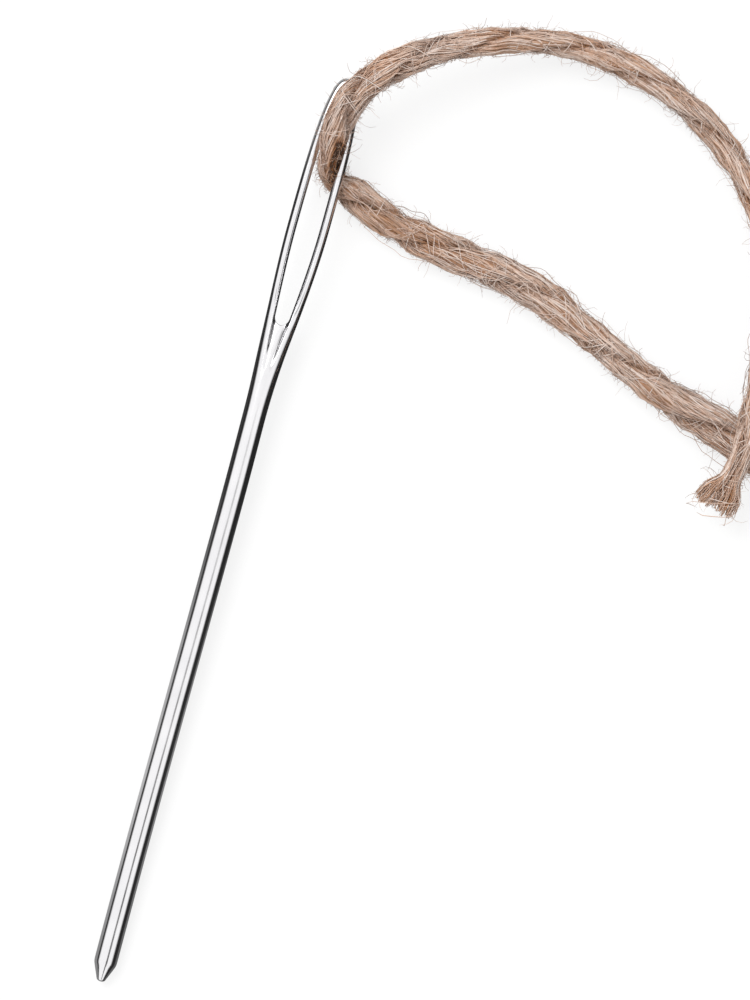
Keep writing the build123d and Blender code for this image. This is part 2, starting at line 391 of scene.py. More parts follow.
class Line:
    """The twine's middle line as arrays over s, the millimetres along it: its places, its
    level sideways and upward directions, the twist of its plies and half its girth."""

    def __init__(self, places):
        steps = np.linalg.norm(np.diff(places, axis=0), axis=1)
        s = np.concatenate([[0], np.cumsum(steps)])
        even = np.arange(-BRUSH_MM, s[-1] + BRUSH_MM, LINE_STEP_MM)
        start, end = unit(places[0] - places[1]), unit(places[-1] - places[-2])
        inside = np.stack([np.interp(even, s, places[:, k]) for k in range(3)], axis=1)
        before, after = np.minimum(even, 0), np.maximum(even - s[-1], 0)
        self.s = even
        self.places = inside - before[:, None] * start + after[:, None] * end
        self.length = s[-1]
        self.along = unit(np.gradient(self.places, axis=0))
        self.side = unit(np.cross([0.0, 0.0, 1.0], self.along))
        self.up = np.cross(self.along, self.side)
        creases, turns = np.array(CREASES).T
        self.spin = eased(np.interp(even, creases, -math.pi * turns), SPIN_REACH)
        # The girth of the table, times 1 + share * sin(pace * s + start) for each of the knobs
        spots, *girth = np.array(GIRTH).T
        knobs = np.ones(len(even))
        for share, pace, start in KNOBS:
            knobs += share * np.sin(pace * even + start)
        self.wide, self.high = (
            knobs * eased(np.interp(even, spots, half), GIRTH_REACH) for half in girth
        )

    def at(self, name, s):
        """An array of the line, read at any places s along it."""
        values = getattr(self, name)
        if values.ndim == 1:
            return np.interp(s, self.s, values)
        return np.stack([np.interp(s, self.s, values[:, k]) for k in range(3)], axis=-1)

    def place(self, s, u, v):
        """A point off the line: u half-widths to the side and v half-heights up."""
        across = (u * self.at("wide", s))[..., None] * self.at("side", s)
        rise = (v * self.at("high", s))[..., None] * self.at("up", s)
        return self.at("places", s) + across + rise

    def round(self, s, off, angle):
        """A point off the line at an angle, by a share of the girth."""
        return self.place(s, off * np.cos(angle), off * np.sin(angle))

    def in_ply(self, s, ply, reach, turn):
        """A point of a ply: reach is 0 at the ply's middle and 1 on its skin, turn goes round it.
        Each ply is a flattened round whose middle circles the line as the twine twists."""
        spin = self.at("spin", s) + math.pi * ply
        out = PLY_OFFSET + PLY_DEPTH * reach * np.cos(turn)
        over = PLY_WIDTH * reach * np.sin(turn)
        u = out * np.cos(spin) - over * np.sin(spin)
        v = out * np.sin(spin) + over * np.cos(spin)
        return self.place(s, u, v)


def twine_line():
    """The middle line, from the loop's end to the tail's: one quadratic NURBS spline whose
    control points are the route's."""
    route = [*LOOP_ROUTE[::-1], *BIGHT_ROUTE, *TAIL_ROUTE]
    curve = bpy.data.curves.new("twine_route", "CURVE")
    curve.dimensions = "3D"
    spline = curve.splines.new("NURBS")
    spline.points.add(len(route) - 1)
    for point, (x, y, z) in zip(spline.points, route):
        point.co = (x * MM, (y + NIP_Y_MM) * MM, z * MM, 1)
    spline.order_u = 3
    spline.use_endpoint_u = True
    spline.resolution_u = ROUTE_STEPS
    guide = bpy.data.objects.new("twine_route", curve)
    mesh = bpy.data.meshes.new_from_object(guide)
    places = np.array([v.co for v in mesh.vertices], float) / MM
    bpy.data.meshes.remove(mesh)
    bpy.data.objects.remove(guide)
    bpy.data.curves.remove(curve)
    return Line(places)


class Strands:
    """Many thin tubes gathered into one mesh, with a shade and a strip of the map for each."""

    def __init__(self):
        self.points, self.faces, self.shades, self.maps = [], [], [], []
        self.corners, self.tubes = 0, 0

    def tube(self, paths, outward, widths, flat, shades, sides):
        """Tubes along paths (tube, station, xyz). outward sets which way their flat side faces,
        widths (tube, station) are half-widths, flat the thickness as a share of the width.
        Point = path + width (cos a * across + flat * sin a * proud), a going round."""
        course = unit(np.gradient(paths, axis=1))
        across = unit(np.cross(course, outward))
        proud = np.cross(across, course)
        a = (TURN * np.arange(sides) / sides)[:, None]
        ring = np.cos(a) * across[:, :, None] + flat * np.sin(a) * proud[:, :, None]
        self.skin(paths[:, :, None] + widths[:, :, None, None] * ring, shades)

    def skin(self, skins, shades):
        """Closed tubes from their rings of points (tube, station, side, xyz). What would reach
        the table is pressed together above it: lower than press, z = press * exp(z / press - 1)."""
        tubes, stations, sides = skins.shape[:3]
        high = skins[..., 2]
        pressed = PRESS_MM * np.exp(np.minimum(high, PRESS_MM) / PRESS_MM - 1)
        skins[..., 2] = np.where(high < PRESS_MM, pressed, high)
        tube, k, j = np.mgrid[:tubes, : stations - 1, :sides].reshape(3, -1)
        row = self.corners + (tube * stations + k) * sides
        beside = (j + 1) % sides
        above = row + sides
        self.faces.append(np.stack([row + j, row + beside, above + beside, above + j], 1))
        strip = [
            np.stack([(k + dk) / (stations - 1), (j + dj) / sides], 1)
            for dk, dj in ((0, 0), (0, 1), (1, 1), (1, 0))
        ]
        self.maps.append((self.tubes + tube, np.stack(strip, 1)))
        # Each end is closed by a fan, which takes the last sliver of its tube's strip
        fans = [(0, 1, 2)] if sides == 3 else [(0, m, m + 1, m + 2) for m in range(1, sides - 2, 2)]
        spot = np.array([(0, 0.2), (0, 0.8), (MAP_SLIVER, 0.8), (MAP_SLIVER, 0.2)])
        for end in (0, stations - 1):
            start = self.corners + (np.arange(tubes) * stations + end) * sides
            for fan in fans:
                order = fan[::-1] if end == 0 else fan
                self.faces.append(start[:, None] + np.array(order))
                place = spot[: len(fan)] + ((1 - MAP_SLIVER if end else 0), 0)
                self.maps.append((self.tubes + np.arange(tubes), np.repeat(place[None], tubes, 0)))
        self.points.append(skins.reshape(-1, 3))
        shades = np.broadcast_to(np.reshape(shades, (tubes, -1)), (tubes, stations))
        self.shades.append(np.repeat(shades, sides))
        self.corners += tubes * stations * sides
        self.tubes += tubes

    def build(self, name, material):
        """The mesh object, with an attribute for the shade and a map in which every tube has its
        own strip, so many strips side by side in each of a few columns."""
        faces = [face for block in self.faces for face in block.tolist()]
        piece = new_piece(name, np.concatenate(self.points), faces, "twine", material)
        mark(piece.data, "shade", self.shades)
        rows = math.ceil(self.tubes / MAP_COLUMNS)
        spots = []
        for tube, strip in self.maps:
            along = MAP_GAP_ALONG + (1 - 2 * MAP_GAP_ALONG) * strip[:, :, 0]
            across = MAP_GAP_ACROSS + (1 - 2 * MAP_GAP_ACROSS) * strip[:, :, 1]
            right = ((tube % MAP_COLUMNS)[:, None] + along) / MAP_COLUMNS
            up = ((tube // MAP_COLUMNS)[:, None] + across) / rows
            spots.append(np.stack([right, up], 2).reshape(-1, 2))
        layer = piece.data.uv_layers.new(name="OFBake")
        layer.uv.foreach_set("vector", np.concatenate(spots).astype(np.float32).ravel())
        return piece


def stations_of(draw, low, high, per_mm, lengths, count):
    """Strands whose middles lie evenly at random between low and high, as two arrays: places
    (strand, station) along the line, and shares from 0 at a strand's start to 1 at its end."""
    strands = int(per_mm * (high - low))
    middle = draw.uniform(low, high, (strands, 1))
    length = draw.uniform(*lengths, (strands, 1))
    t = np.linspace(0, 1, count)[None, :]
    return middle + (t - 0.5) * length, t


def lay_plies(strands, line, low, high):
    """The two plies' hearts, dark as painted shade: each a tube at a share of its ply's size, which
    ripples the way the bundles of fibres do, reach = share + ripple * sin(bundles * turn)."""
    s = np.arange(low, high + HEART_BEYOND_MM, HEART_STEP_MM)
    s = np.clip(s, HEART_END_MM, line.length - HEART_END_MM)
    s = s[np.concatenate([[True], np.diff(s) > 0])]
    turn = np.linspace(0, TURN, HEART_SIDES, endpoint=False)
    plies = []
    for ply in (0, 1):
        twist = turn[None, :] - FIBRE_LAY * line.at("spin", s)[:, None]
        reach = HEART_SHARE + HEART_RIPPLE * np.sin(BUNDLES * turn)[None, :]
        plies.append(line.in_ply(s[:, None] + 0 * twist, ply, reach, twist))
    strands.skin(np.array(plies), np.full(2, HEART_PAINTED_SHADE))


def in_shadow(line, s, places):
    """How much painted shade places get: how deep they lie, 1 near the twine's middle and 0 on its
    skin, and how far they are in the hollow where the twine dives through the eye, under the right
    rail, in its shadow."""
    off = np.linalg.norm(places - line.at("places", s), axis=-1)
    girth = np.sqrt(line.at("wide", s) * line.at("high", s))
    depth = 1 - smoothstep(*DEPTH_SHARES, off / girth)
    hollow = window(*HOLLOW_X_MM, places[..., 0]) * window(*HOLLOW_Y_MM, places[..., 1])
    return depth, hollow


def lay_fibres(strands, line, draw, low, high, per_mm):
    """Fibres along each ply's skin. They turn round the ply against the ply's own twist,
    turn = start - lay * spin, so on top they run along the twine; each one dives into the
    ply at both ends, and in the frayed ends it spreads through the whole brush."""
    first, last = line.s[0], line.s[-1]
    # Near a free end, strands from beyond it fill the brush as well
    from_s = low - BRUSH_SPILL_MM * (low == first)
    to_s = high + BRUSH_SPILL_MM * (high == last)
    s, t = stations_of(draw, from_s, to_s, per_mm, FIBRE_LENGTHS_MM, FIBRE_STATIONS)
    made = len(s)
    spread = np.sqrt(draw.uniform(0, 1, (made, 1)))
    ragged = draw.uniform(*RAGGED_MM, (made, 1)) + 0.5 * spread**2
    start = np.maximum(s[:, :1], max(first, low - OVERLAP_MM) + ragged)
    end = np.minimum(s[:, -1:], min(last, high + OVERLAP_MM) - ragged)
    s = start + t * (end - start)
    # Which ply and bundle a fibre is in, and how it wanders over them
    ply = draw.integers(0, 2, (made, 1))
    bundle = draw.integers(0, BUNDLES, (made, 1))
    turn = TURN * bundle / BUNDLES + draw.normal(0, BUNDLE_LOOSE, (made, 1))
    wander = draw.normal(0, FIBRE_WANDER, (made, 1))
    turn = turn - FIBRE_LAY * line.at("spin", s) + wander * (t - 0.5)
    wave = draw.uniform(0, TURN, (2, made, 1))
    period = draw.uniform(*WAVE_LENGTHS_MM, (2, made, 1))
    turn += WAVE_TURN * np.sin(TURN * s / period[0] + wave[0])
    skin = draw.uniform(*FIBRE_SKIN, (made, 1))
    swing = WAVE_REACH * np.sin(TURN * s / period[1] + wave[1])
    reach = skin - FIBRE_DIVE * (2 * t - 1) ** 6 + swing
    far = line.length
    frayed = 1 - window(-FRAY_OVERRUN_MM, FRAY_MM, far - FRAY_MM, far + FRAY_OVERRUN_MM, s)
    reach = reach + frayed * (spread * FRAY_SPREAD - reach)
    paths = line.in_ply(s, ply, reach, turn)
    heart = line.in_ply(s, ply, 0.0, turn)
    width = draw.uniform(*FIBRE_HALF_WIDTHS_MM, (made, 1))
    taper = tapered(t, *FIBRE_TAPER)
    width = width * (taper + frayed * (FRAY_WIDTH - taper))
    # Its shade: its bundle's and its own, then painted shade: paler further out, and dark in the
    # depths and in the eye's hollow where no light comes; darker also along the stretch past the
    # eye
    bundle_shade = draw.normal(0, BUNDLE_SPREAD, (2, BUNDLES))[ply[:, 0], bundle[:, 0]]
    shade = draw.normal(SHADE_MEAN, SHADE_SPREAD, made) + bundle_shade
    shade = np.clip(shade + PAINTED_SHADE_BY_SKIN * (skin[:, 0] - SKIN_MEAN), *SHADE_LIMITS)
    shade = np.where(draw.random(made) < PALE_SHARE, draw.uniform(*PALE_SHADES, made), shade)
    depth, hollow = in_shadow(line, s, paths)
    browned = np.exp(-(((s - BROWN_MIDDLE_MM) / BROWN_REACH_MM) ** 2))
    darker = DEPTH_PAINTED_SHADE * depth * (1 - frayed) + HOLLOW_PAINTED_SHADOW * hollow + BROWN_DARK * browned
    strands.tube(paths, paths - heart + 1e-6, width, FIBRE_FLAT, shade[:, None] - darker, 3)


def lay_strays(strands, line, draw, low, high, per_mm):
    """Loose pale fibres over both plies. They cross the twine at all angles, a little proud of
    it, and dive at both ends: off = from 0.95 to 1.07, less 0.22 * (2t - 1)^4."""
    s, t = stations_of(draw, low, high, per_mm, STRAY_LENGTHS_MM, STRAY_STATIONS)
    s = np.clip(s, line.s[0], line.s[-1])
    made = len(s)
    angle = draw.uniform(0, TURN, (made, 1))
    angle = angle + (t - 0.5) * draw.normal(0, STRAY_CROSSING, (made, 1))
    angle += 0.08 * np.sin(draw.uniform(2, 9, (made, 1)) * t + draw.uniform(0, 6, (made, 1)))
    off = draw.uniform(0.95, 1.07, (made, 1)) - 0.22 * (2 * t - 1) ** 4
    paths = line.round(s, off, angle)
    outward = paths - line.at("places", s)
    width = draw.uniform(*STRAY_HALF_WIDTHS_MM, (made, 1)) * tapered(t, *STRAY_TAPER)
    shade = draw.uniform(*STRAY_SHADES, (made, 1))
    # Painted shadow on the strays in the hollow under the right rail
    shade = shade - STRAY_HOLLOW_PAINTED_SHADOW * in_shadow(line, s, paths)[1]
    strands.tube(paths, outward, width, STRAY_FLAT, shade, 4)


def lay_hairs(strands, line, draw, low, high, per_mm):
    """Hairs that stand off the twine, each a curl of constant bend: place = root
    + length / bend * (sin(bend t) * course + (1 - cos(bend t)) * across), with a small wave."""
    made = int(per_mm * (high - low))
    s = draw.uniform(low, high, (made, 1))
    t = np.linspace(0, 1, HAIR_STATIONS)[None, :, None]
    angle = draw.uniform(0, TURN, (made, 1))
    root = line.round(s, HAIR_ROOT, angle)
    along = line.at("along", s) * draw.choice([-1, 1], (made, 1, 1))
    side, up = line.at("side", s), line.at("up", s)
    off = np.cos(angle)[..., None] * side + np.sin(angle)[..., None] * up
    lean = draw.uniform(*HAIR_LEAN, (made, 1, 1))
    stray = draw.normal(0, HAIR_STRAY, (made, 1, 3))
    course = unit(np.cos(lean) * along + np.sin(lean) * off + stray)
    across = unit(np.cross(course, draw.normal(0, 1, (made, 1, 3))))
    length = HAIR_SHORTEST_MM + draw.exponential(HAIR_MEAN_MM, (made, 1, 1))
    length = np.clip(length, 0, HAIR_LONGEST_MM)
    bend = draw.normal(0, HAIR_BEND, (made, 1, 1)) + 0.01
    paths = root + length / bend * (np.sin(bend * t) * course + (1 - np.cos(bend * t)) * across)
    paths += HAIR_WAVE * length * np.sin(7 * t + 9 * lean) * np.cross(course, across)
    paths[..., 2] = np.maximum(paths[..., 2], HAIR_FLOOR_MM)
    width = draw.uniform(*HAIR_HALF_WIDTHS_MM, (made, 1)) * (1 - 0.5 * t[..., 0])
    outward = draw.normal(0, 1, (made, 1, 3)) + 0 * paths
    strands.tube(paths, outward, width, 1.0, draw.uniform(*HAIR_SHADES, made), 3)


def lay_wisps(strands, line, draw, low, high, per_mm):
    """Long loose fibres that bow away from the twine and come back to it:
    off = root + lift * sin(pi t), with a small wave, t from 0 to 1 along the wisp."""
    s, t = stations_of(draw, low, high, per_mm, WISP_LENGTHS_MM, WISP_STATIONS)
    s = np.clip(s, low, high)
    made = len(s)
    angle = draw.uniform(0, TURN, (made, 1))
    angle = angle + (t - 0.5) * draw.normal(0, WISP_CROSSING, (made, 1))
    mean, least, most = WISP_LIFT
    lift = np.clip(draw.exponential(mean, (made, 1)), least, most)
    wave = 0.05 * np.sin(draw.uniform(5, 14, (made, 1)) * t)
    paths = line.round(s, WISP_ROOT + lift * np.sin(math.pi * t) + wave, angle)
    paths[..., 2] = np.maximum(paths[..., 2], HAIR_FLOOR_MM)
    outward = paths - line.at("places", s)
    width = draw.uniform(*WISP_HALF_WIDTHS_MM, (made, 1)) * tapered(t, *WISP_TAPER)
    strands.tube(paths, outward, width, 1.0, draw.uniform(*WISP_SHADES, made), 3)


def eye_outline(y):
    """Half the outer width: a smoothstep from the shank to the eye, then a pointed arch,
    (x / width)^3 + ((y - start) / rise)^3.1 = 1."""
    neck = SHANK_RADIUS + (EYE_HALF_WIDTH - SHANK_RADIUS) * smoothstep(NECK_START, NECK_END, y)
    rise = np.clip((y - ARCH_START) / (LENGTH - ARCH_START), 0, 1)
    return neck * (1 - rise**OUTER_RISE) ** (1 / OUTER_ROUND)


def hole_outline(y):
    """Half the slot's width: a rail's width inside the outline, with a rounded U below and an
    arch of its own above, (x / width)^2.1 + ((y - start) / rise)^2.95 = 1."""
    sides = eye_outline(np.minimum(y, ARCH_START)) - RAIL_WIDTH
    depth = np.clip((y - SLOT_FLOOR) / U_DEPTH, 0, 1)
    floor = (1 - (1 - depth) ** U_ROUND) ** (1 / U_ROUND)
    rise = np.clip((y - ARCH_START) / (HOLE_TOP - ARCH_START), 0, 1)
    return sides * floor * (1 - rise**INNER_RISE) ** (1 / INNER_ROUND)


def gutter_shade(places):
    """How dull the skin is at places about the needle's own middle, rougher and darkened as
    painted shade: 1 along the two gutters, exp(-((|x| - bank) / width)^2). The right one starts
    lower down and runs closer in."""
    x, y = places[:, 0], places[:, 1]
    start = np.where(x > 0, DULL_START_RIGHT, DULL_START_LEFT)
    left = eye_outline(y) - RAIL_WIDTH
    right = DULL_OFF + DULL_LEAN * (y - DULL_LOW_END)
    step_low, step_high = (SLOT_FLOOR + past for past in DULL_STEP_SPAN)
    right += DULL_STEP * smoothstep(step_low, step_high, y)
    off = (np.abs(x) - np.where(x > 0, right, left)) / DULL_WIDTH
    end_low, end_high = (SLOT_FLOOR + past for past in DULL_END)
    along = window(start, start + DULL_RISE, end_low, end_high, y)
    return along * np.exp(-(off**2))


def bow(y):
    """The table's smooth line, with a cubic's slope through each of its places."""
    place, off = np.array(BOW).T
    slope = np.gradient(off, place)
    k = np.clip(np.searchsorted(place, y) - 1, 0, len(place) - 2)
    gap = place[k + 1] - place[k]
    t = (y - place[k]) / gap
    rise = off[k + 1] - off[k]
    ends = t * (1 - t) ** 2 * slope[k] - t**2 * (1 - t) * slope[k + 1]
    return off[k] + rise * smoothstep(0, 1, t) + gap * ends


def needle_stations():
    """Points on the outer outline and on the slot's edge, station by station from the nose to
    the crown, and the number of the first station at the slot. Below it, the needle's middle
    takes the place of the slot's edge."""
    # The blunt nose and its cone, then the wire and the neck
    a = np.linspace(0, math.pi / 2, NOSE_RINGS)
    nose_y = NOSE_ROUND * (1 - np.cos(a) ** NOSE_POWER)
    nose = np.sin(a) ** NOSE_POWER
    y = np.concatenate([
        nose_y,
        np.linspace(NOSE_ROUND, POINT_RINGS_END, POINT_RINGS)[1:],
        np.linspace(POINT_RINGS_END, NECK_START, SHANK_RINGS)[1:],
        np.linspace(NECK_START, SLOT_FLOOR - NECK_GAP, NECK_RINGS)[1:],
    ])
    cone = NOSE_RADIUS + (SHANK_RADIUS - NOSE_RADIUS) * y / POINT_LENGTH
    wire = soft_min(cone, SHANK_RADIUS, SHOULDER_ROUND)
    wire[: len(nose)] *= nose
    x = np.where(y <= NECK_START, wire, eye_outline(y))
    outer = [np.stack([x, y], 1)]
    inner = [np.stack([0 * x, y], 1)]
    # Round the U of the slot's floor
    t = np.linspace(0, 1, FLOOR_RINGS)
    a = math.pi / 2 * t**FLOOR_EASE
    depth = U_DEPTH * (1 - np.cos(a) ** (2 / U_ROUND))
    edge_y = SLOT_FLOOR + depth
    edge_x = (eye_outline(edge_y) - RAIL_WIDTH) * np.sin(a) ** (2 / U_ROUND)
    y = SLOT_FLOOR - FLOOR_LEAD + (U_DEPTH + FLOOR_LEAD) * t
    outer.append(np.stack([eye_outline(y), y], 1))
    inner.append(np.stack([edge_x, edge_y], 1))
    # Up the sides
    y = np.linspace(SLOT_FLOOR + U_DEPTH, ARCH_START, SIDE_RINGS)[1:]
    outer.append(np.stack([eye_outline(y), y], 1))
    inner.append(np.stack([eye_outline(y) - RAIL_WIDTH, y], 1))
    # Over the arch: steps along the outline that shorten towards the crown, each section
    # square to it, and the slot's edge found by halving
    a = np.linspace(0, math.pi / 2, ARCH_SAMPLES)
    fine_x = EYE_HALF_WIDTH * np.cos(a) ** (2 / OUTER_ROUND)
    fine_y = ARCH_START + (LENGTH - ARCH_START) * np.sin(a) ** (2 / OUTER_RISE)
    run = np.concatenate([[0], np.cumsum(np.hypot(np.diff(fine_x), np.diff(fine_y)))])
    share = np.linspace(0, 1, ARCH_RINGS)[1:]
    at = run[-1] * (1 - (1 - share) ** ARCH_EASE)
    x, y = np.interp(at, run, fine_x), np.interp(at, run, fine_y)
    rise = (y - ARCH_START) / (LENGTH - ARCH_START)
    slope_x = OUTER_ROUND * x ** (OUTER_ROUND - 1) / EYE_HALF_WIDTH**OUTER_ROUND
    slope_y = OUTER_RISE * rise ** (OUTER_RISE - 1) / (LENGTH - ARCH_START)
    square = np.arctan2(slope_y, slope_x)
    near, far = (np.full(len(x), length) for length in ARCH_SEARCH)
    for _ in range(ARCH_HALVINGS):
        reach = (near + far) / 2
        hole = hole_outline(y - reach * np.sin(square))
        in_steel = x - reach * np.cos(square) > hole - 1e-9
        near, far = np.where(in_steel, reach, near), np.where(in_steel, far, reach)
    outer.append(np.stack([x, y], 1))
    inner.append(np.stack([x - near * np.cos(square), y - near * np.sin(square)], 1))
    return np.concatenate(outer), np.concatenate(inner), len(outer[0])


def needle_quarter():
    """A quarter of the needle's skin, x and z from 0 up, as two grids: from the outside over
    the top, and the slot's wall. Each section is a star of rays from the rail's middle M. In
    the wire and the neck a ray ends on z(x) = high * sqrt(1 - (x / wide)^2) - dip, where dip
    is the gutter's depth for x below bank. Beyond the slot's floor its end moves over to the
    rail's ellipse, r = 1 / sqrt(cos^2 a / half^2 + sin^2 a / thick^2)."""
    outer, inner, floor_at = needle_stations()
    slot = np.arange(len(outer)) >= floor_at
    y = outer[:, 1]
    radius = np.minimum(outer[:, 0], SHANK_RADIUS)
    # Each section's direction, the rail's middle in it and half-width, and the way to the axis
    size = np.where(y < NECK_START, radius / SHANK_RADIUS, 1.0)
    section = unit(outer - inner)
    section[~slot] = (1, 0)
    broad = np.linalg.norm(outer - inner, axis=1)
    half = np.where(y > ARCH_START, broad / 2, RAIL_WIDTH / 2) * size
    middle = outer - half[:, None] * section
    to_axis = middle[:, 0] / np.maximum(section[:, 0], 0.25)
    reached = np.where(slot & (y < ARCH_START), section[:, 0], 1.0)
    wide = np.maximum(outer[:, 0], 1e-5) / reached
    # The neck's height, the gutters' depth and how far a section has gone over to the rail's
    thin = (RAIL_HALF_THICKNESS - SHANK_RADIUS) * smoothstep(NECK_START, NECK_THIN_END, y)
    high = np.where(y < NECK_START, radius, SHANK_RADIUS + thin)
    sunk = np.clip((y - GUTTER_START) / (SLOT_FLOOR - GUTTER_START), 0, GUTTER_MOST)
    depth = GUTTER_DEPTH * sunk * smoothstep(0, GUTTER_EASE, sunk)
    bank = wide - RAIL_WIDTH
    railed = smoothstep(SLOT_FLOOR + RAILED[0], SLOT_FLOOR + RAILED[1], y)[:, None]
    edge = np.where(slot, np.linalg.norm(middle - inner, axis=1), to_axis)

    def skin_z(x, k=slice(None)):
        """z(x) of the neck at the stations k, below zero beyond its sides."""
        w, h, d, b = (v[k, None] for v in (wide, high, depth, bank))
        over = h * np.sqrt(np.maximum(1 - (x / w) ** 2, 0)) - np.maximum(x - w, 0)
        return over - d * (1 - smoothstep(b - GUTTER_WALL, b + GUTTER_WALL, np.abs(x)))

    at_edge = skin_z((to_axis - edge)[:, None])[:, 0]
    at_edge = np.where(slot, np.maximum(at_edge * (1 - railed[:, 0]), WALL_HIGH), at_edge)
    top = math.pi - np.arctan2(at_edge, np.maximum(edge, 1e-6))

    def reach(a):
        """r(a) at every station, for directions a (station, ray), by halving."""
        c, n = np.cos(a), np.sin(a)
        near, far = (np.full(a.shape, length) for length in RAY_SEARCH)
        for _ in range(RAY_HALVINGS):
            r = (near + far) / 2
            inside = r * n < skin_z(to_axis[:, None] + r * c)
            near, far = np.where(inside, r, near), np.where(inside, far, r)
        corner = np.where(slot, np.minimum(EDGE_ROUND, 0.3 * inner[:, 0]), 0)[:, None]
        cut = soft_min(near, np.minimum(edge[:, None] / np.maximum(-c, 1e-6), 9.0), corner)
        neck = np.where(slot[:, None], cut, near)
        wide_rail = np.maximum(half, 1e-5)[:, None]
        thick_rail = np.maximum(RAIL_HALF_THICKNESS * size, 1e-5)[:, None]
        rails = 1 / np.sqrt((c / wide_rail) ** 2 + (n / thick_rail) ** 2)
        return neck + (rails - neck) * railed

    def points(a):
        """The rays' ends, M + r (cos a * section + sin a * up)."""
        r = reach(a)
        flat = middle[:, None] + (r * np.cos(a))[..., None] * section[:, None]
        flat[..., 0] = np.maximum(flat[..., 0], 0)
        return np.concatenate([flat, (r * np.sin(a))[..., None]], 2)

    # The rays lie closer over the bank of the gutter, and the two grids share their seam
    share = np.linspace(0, 1, OVER_RAYS)
    share = share - RAY_PULL * np.sin(TURN * share)
    over = points(share[None, :] * top[:, None])
    over[: floor_at + 1, -1, 0] = 0
    over[0], over[-1, :, 0] = (0, 0, 0), 0
    share = np.linspace(0, 1, WALL_RAYS)
    wall = points(top[:, None] + share[None, :] * (math.pi - top)[:, None])[floor_at:]
    wall[0, :, 0] = wall[-1, :, 0] = 0
    wall[:, 0] = over[floor_at:, -1]
    wall[:, -1, 2] = 0
    return over, wall


def noise(tree, place, scale, detail=2.0):
    """Soft noise over places, its scale in spots to a metre."""
    return tree.add("ShaderNodeTexNoise", {}, {"Vector": place, "Scale": scale, "Detail": detail})


def bump(tree, height, far, strength, normal=None):
    """A normal tilted as if the surface stood out by its height, 0 to 1, times far in metres."""
    sockets = {"Strength": strength, "Distance": far, "Height": height, "Normal": normal}
    return tree.add("ShaderNodeBump", {}, sockets)


def jute(look, name="jute", vivid=1.0):
    """Jute: each fibre's own shade, drifting along the twine and flecked at a fibre's scale.
    The colour is more or less vivid from place to place, and on loose hairs it is dull."""
    material = bpy.data.materials.new(name)
    tree = Tree(material)
    place = tree.add("ShaderNodeTexCoord", output=3)
    shade = tree.add("ShaderNodeAttribute", {"attribute_name": "shade"}, output=2)
    drift = noise(tree, place, DRIFT_SCALE)
    fleck = noise(tree, place, FLECK_SCALE, 3.0)
    level = shade + (drift - 0.5) * look.drift + (fleck - 0.5) * look.fleck
    level = level * (1 - SHADE_LIFT) + SHADE_LIFT
    colours = (look.core, look.deep, look.brown, look.straw, look.pale)
    colour = tree.ramp(level, [(spot, (*tone, 1)) for spot, tone in zip(JUTE_SPOTS, colours)])
    colour = tree.add("ShaderNodeHueSaturation", {}, {
        "Saturation": (drift * VIVID_BY_DRIFT + JUTE_VIVID) * vivid, "Color": colour,
    })
    grain = noise(tree, place, GRAIN_SCALE)
    surface = tree.add("ShaderNodeBsdfPrincipled", {}, {
        "Base Color": colour,
        "Roughness": JUTE_ROUGH - level * ROUGH_BY_SHADE,
        "Specular IOR Level": 0.35,
        "Sheen Weight": 0.12,
        "Sheen Roughness": 0.5,
        "Normal": bump(tree, grain, *GRAIN_BUMP),
    })
    tree.shade("ShaderNodeOutputMaterial", surface)
    return material


def plated_steel(look):
    """Bright nickel plate: fine lengthwise polishing lines, a slow waver of the surface, and
    rougher gutters whose colour is darkened to near black as painted shade."""
    material = bpy.data.materials.new("plated_steel")
    tree = Tree(material)
    place = tree.add("ShaderNodeTexCoord", output=3)
    drawn = tree.add("ShaderNodeMapping", {}, {"Vector": place, "Scale": LINE_STRETCH})
    lines = noise(tree, drawn, LINE_SCALE, 3.0)
    patches = noise(tree, place, PATCH_SCALE, 3.0)
    colour = tree.mix(patches, (*look.shade, 1), (*look.tint, 1))
    # Painted shade: along the gutters the plate's colour goes to a near black grey
    dull = tree.add("ShaderNodeAttribute", {"attribute_name": "dull"}, output=2)
    colour = tree.mix(dull * GUTTER_PAINTED_SHADE_SHARE, colour, grey(GUTTER_PAINTED_SHADE_LEVEL))
    waver = bump(tree, noise(tree, place, WAVER_SCALE, 1.0), look.waver * MM, 1.0)
    rough = look.roughness + lines * ROUGH_BY_LINES + patches * ROUGH_BY_PATCHES
    surface = tree.add("ShaderNodeBsdfPrincipled", {}, {
        "Base Color": colour,
        "Metallic": 1.0,
        "Roughness": rough + dull * ROUGH_BY_DULL,
        "Normal": bump(tree, lines, *LINE_BUMP, waver),
    })
    tree.shade("ShaderNodeOutputMaterial", surface)
    return material


class NeedleLook(bpy.types.PropertyGroup):
    """The needle's plating."""

    shade: FloatVectorProperty(
        name="Shade", description="The plate's colour in its duller patches",
        default=(0.72, 0.715, 0.73), subtype="COLOR", min=0, max=1,
    )
    tint: FloatVectorProperty(
        name="Tint", description="The plate's colour in its brighter patches",
        default=(0.86, 0.85, 0.86), subtype="COLOR", min=0, max=1,
    )
    roughness: FloatProperty(
        name="Roughness", description="How blurred the plate's reflections are",
        default=0.08, min=0, max=1, subtype="FACTOR",
    )
    waver: FloatProperty(
        name="Waver", description="How far the polished surface strays, in millimetres",
        default=0.05, min=0, max=1,
    )


